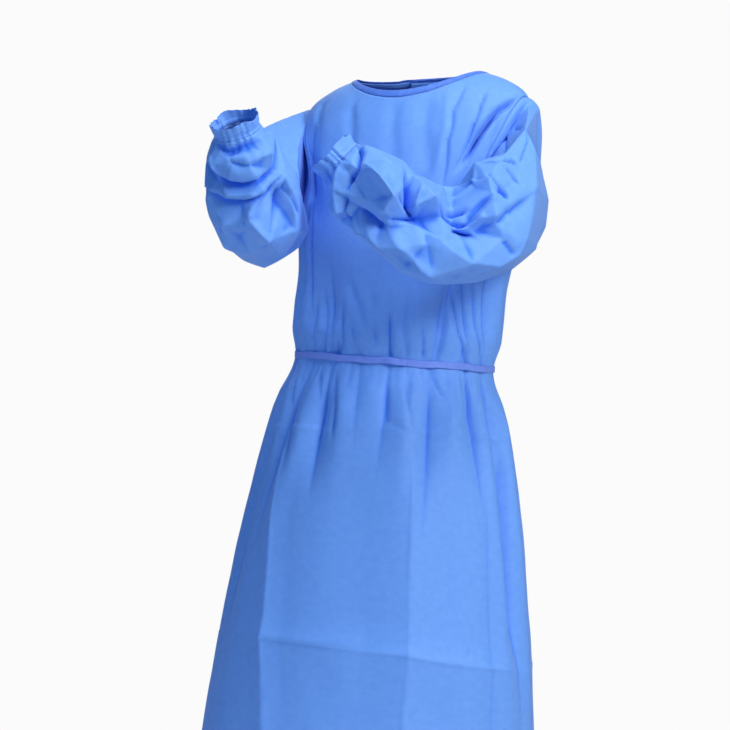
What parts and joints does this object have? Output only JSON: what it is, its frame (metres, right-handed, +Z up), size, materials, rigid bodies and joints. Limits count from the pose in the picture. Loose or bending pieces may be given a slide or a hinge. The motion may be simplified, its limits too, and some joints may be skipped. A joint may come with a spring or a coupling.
{
  "type": "disposable gown",
  "caption": "Long-sleeved back-closing gown of blue nonwoven cloth, tied at the waist, hollow and posed as worn with both forearms raised.",
  "frame": {"origin": "middle of the neck opening, level with the shoulder seams, where the wearer's shoulders hold the gown up", "axes": "+Z up along the body, -Y out of the front of the gown, +X towards the wearer's left"},
  "size_m": [0.508, 0.5754, 1.1593],
  "materials": {
    "gown_cloth": "matte spunbonded nonwoven, crisp creases",
    "cuff_cloth": "matte nonwoven gathered on elastic",
    "binding_tape": "matte nonwoven, folded and pressed",
    "tie_tape": "matte nonwoven tape, slightly violet"
  },
  "bodies": {
    "root": {"front": "gown_cloth", "back_left": "gown_cloth", "back_right": "gown_cloth", "sleeve_left": "gown_cloth", "sleeve_right": "gown_cloth", "cuff_left": "cuff_cloth", "cuff_right": "cuff_cloth", "neck_binding": "binding_tape", "neck_tab": "binding_tape", "belt_left": "tie_tape", "belt_right": "tie_tape", "belt_knot": "tie_tape", "belt_end_left": "tie_tape", "belt_end_right": "tie_tape"}
  },
  "joints": []
}
